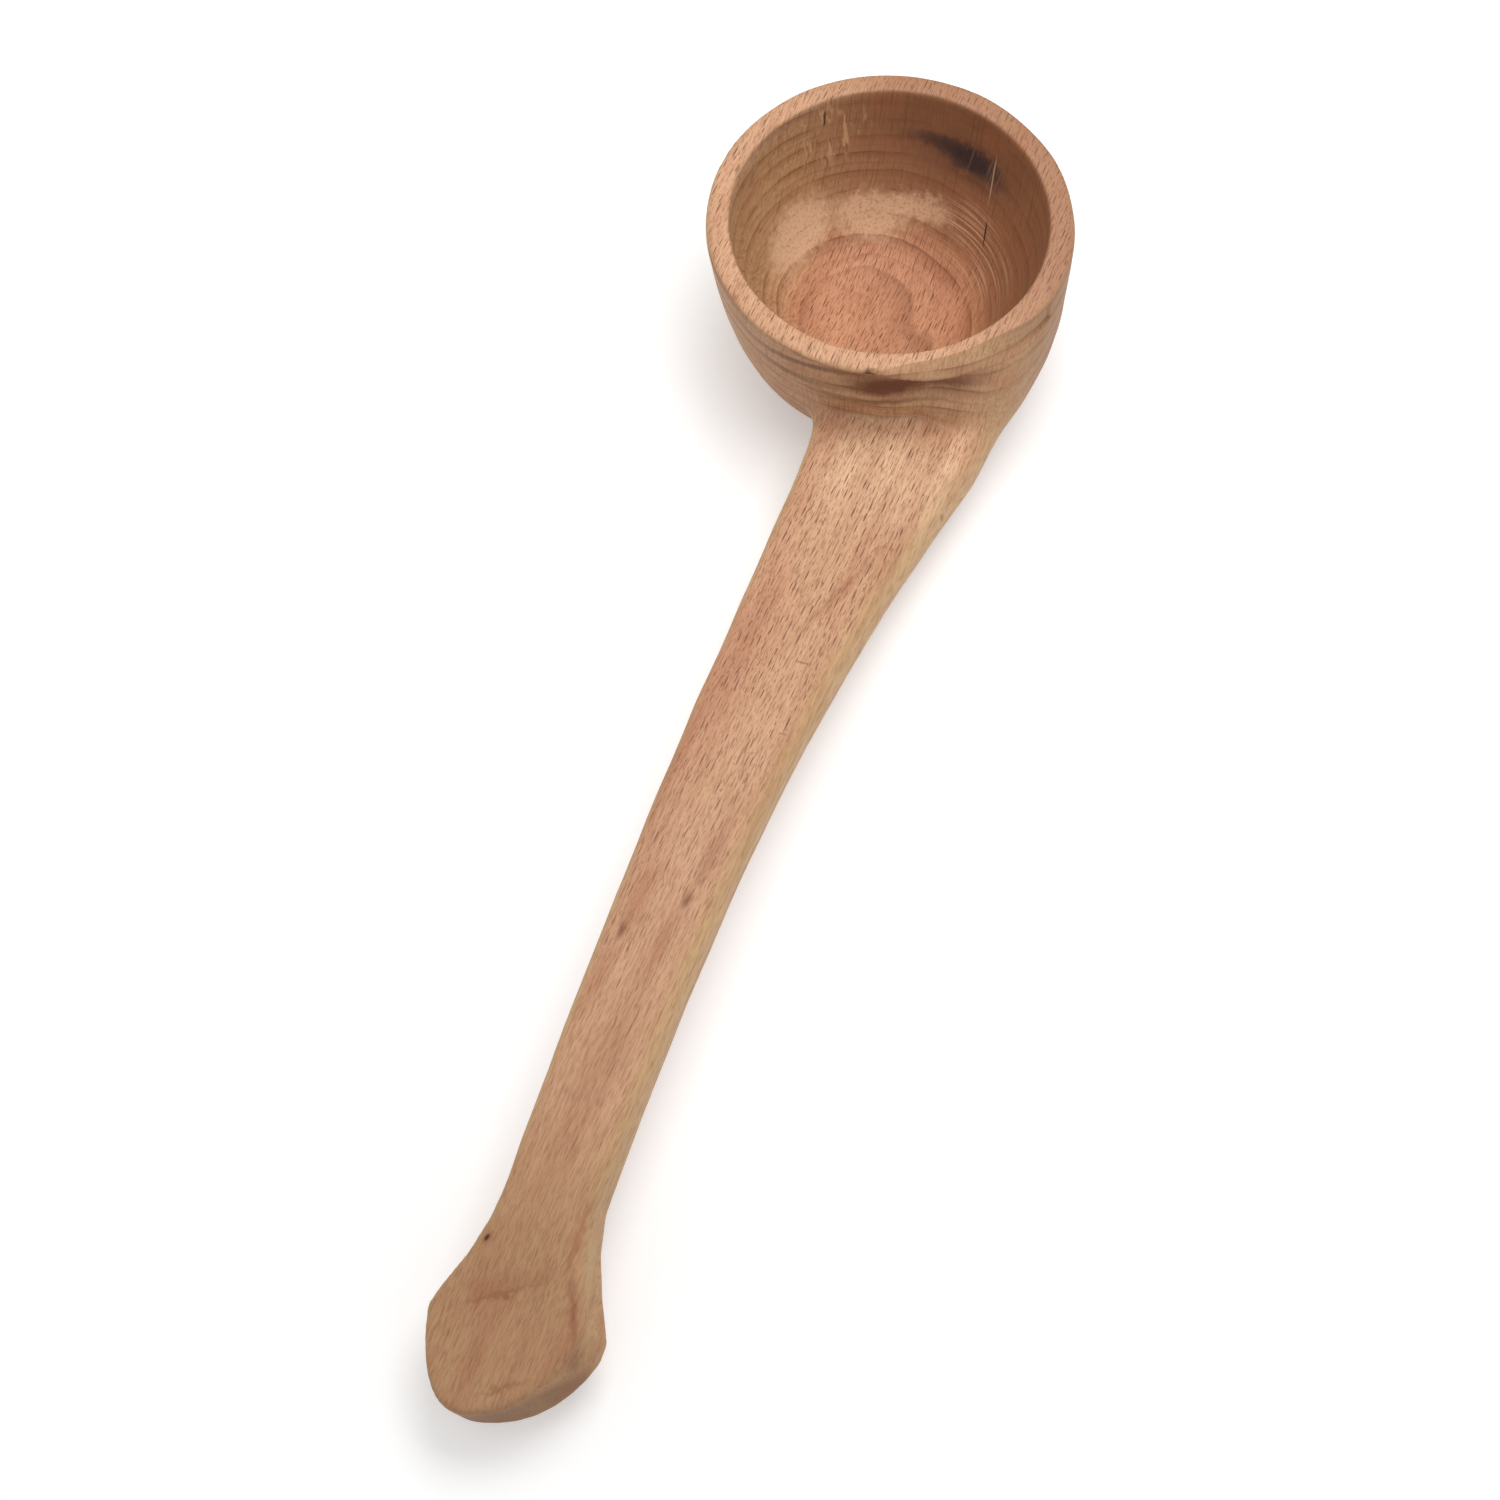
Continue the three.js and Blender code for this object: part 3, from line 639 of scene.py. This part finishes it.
# The lamp lights the middle of the board most, so the board's own glow is weaker there: it
# looks evenly white, and the shadow shows all round the ladle.
spread = add(board, "ShaderNodeTexCoord", out="Object")
spread = add(board, "ShaderNodeVectorMath", {0: spread}, out="Value", operation="LENGTH")
white = add(
    board,
    "ShaderNodeMapRange",
    {"Value": spread, "From Min": 0.24, "From Max": 0.45, "To Min": 0.28, "To Max": 0.51},
    interpolation_type="SMOOTHSTEP",
)
white = add(board, "ShaderNodeMath", {0: where_seen(board), 1: white}, operation="MULTIPLY")
glow = add(board, "ShaderNodeEmission", {"Color": linear("#ffffff"), "Strength": white})
top = add(board, "ShaderNodeAddShader", {0: paint, 1: glow})
add(board, "ShaderNodeOutputMaterial", {"Surface": top})
table.data.materials.append(board)

# Studio: an even white room does most of the lighting. One soft lamp hangs over the bowl, so
# the light falls off towards the handle's end.
room = bpy.data.worlds.new("white_room")
bpy.context.scene.world = room
room.use_nodes = True
room.node_tree.nodes.clear()
brightness = add(
    room, "ShaderNodeMapRange", {"Value": where_seen(room), "To Min": 0.53, "To Max": 1.0}
)
air = add(room, "ShaderNodeBackground", {"Color": linear("#ffffff"), "Strength": brightness})
add(room, "ShaderNodeOutputWorld", {"Surface": air})

softbox = bpy.data.lights.new("softbox", "AREA")
softbox.shape = "RECTANGLE"
softbox.size = 0.24
softbox.size_y = 0.24
softbox.energy = 0.9
softbox_stand = bpy.data.objects.new("softbox", softbox)
softbox_stand.location = (0.045, 0.0, 0.38)
softbox_stand.visible_camera = False
bpy.context.scene.collection.objects.link(softbox_stand)

# Camera: on a stand at arm's length, looking down on the ladle from the handle's end. It stands
# a little to the right, and is turned, tipped down and rolled by these degrees.
CAMERA_PLACE = (69.0, -300.5, 446.1)
CAMERA_TURN = 20.0
CAMERA_DOWN = 66.48
CAMERA_ROLL = 2.56
turn, down, roll = (math.radians(a) for a in (CAMERA_TURN, CAMERA_DOWN, CAMERA_ROLL))
ahead = np.array(
    [-math.sin(turn) * math.cos(down), math.cos(turn) * math.cos(down), -math.sin(down)]
)
level_right = np.array([math.cos(turn), math.sin(turn), 0.0])
level_down = np.cross(ahead, level_right)
right = math.cos(roll) * level_right + math.sin(roll) * level_down
below = np.cross(ahead, right)
lens = bpy.data.cameras.new("camera")
lens.lens = 50.0
lens.sensor_width = 36.0
lens.clip_start = 0.01
lens.clip_end = 20.0
camera = bpy.data.objects.new("camera", lens)
bpy.context.scene.collection.objects.link(camera)
pose = np.eye(4)
pose[:3, 0] = right
pose[:3, 1] = -below
pose[:3, 2] = -ahead
pose[:3, 3] = np.array(CAMERA_PLACE) * MM
camera.matrix_world = Matrix(pose.tolist())
bpy.context.scene.camera = camera
bpy.context.scene.view_settings.view_transform = "Standard"
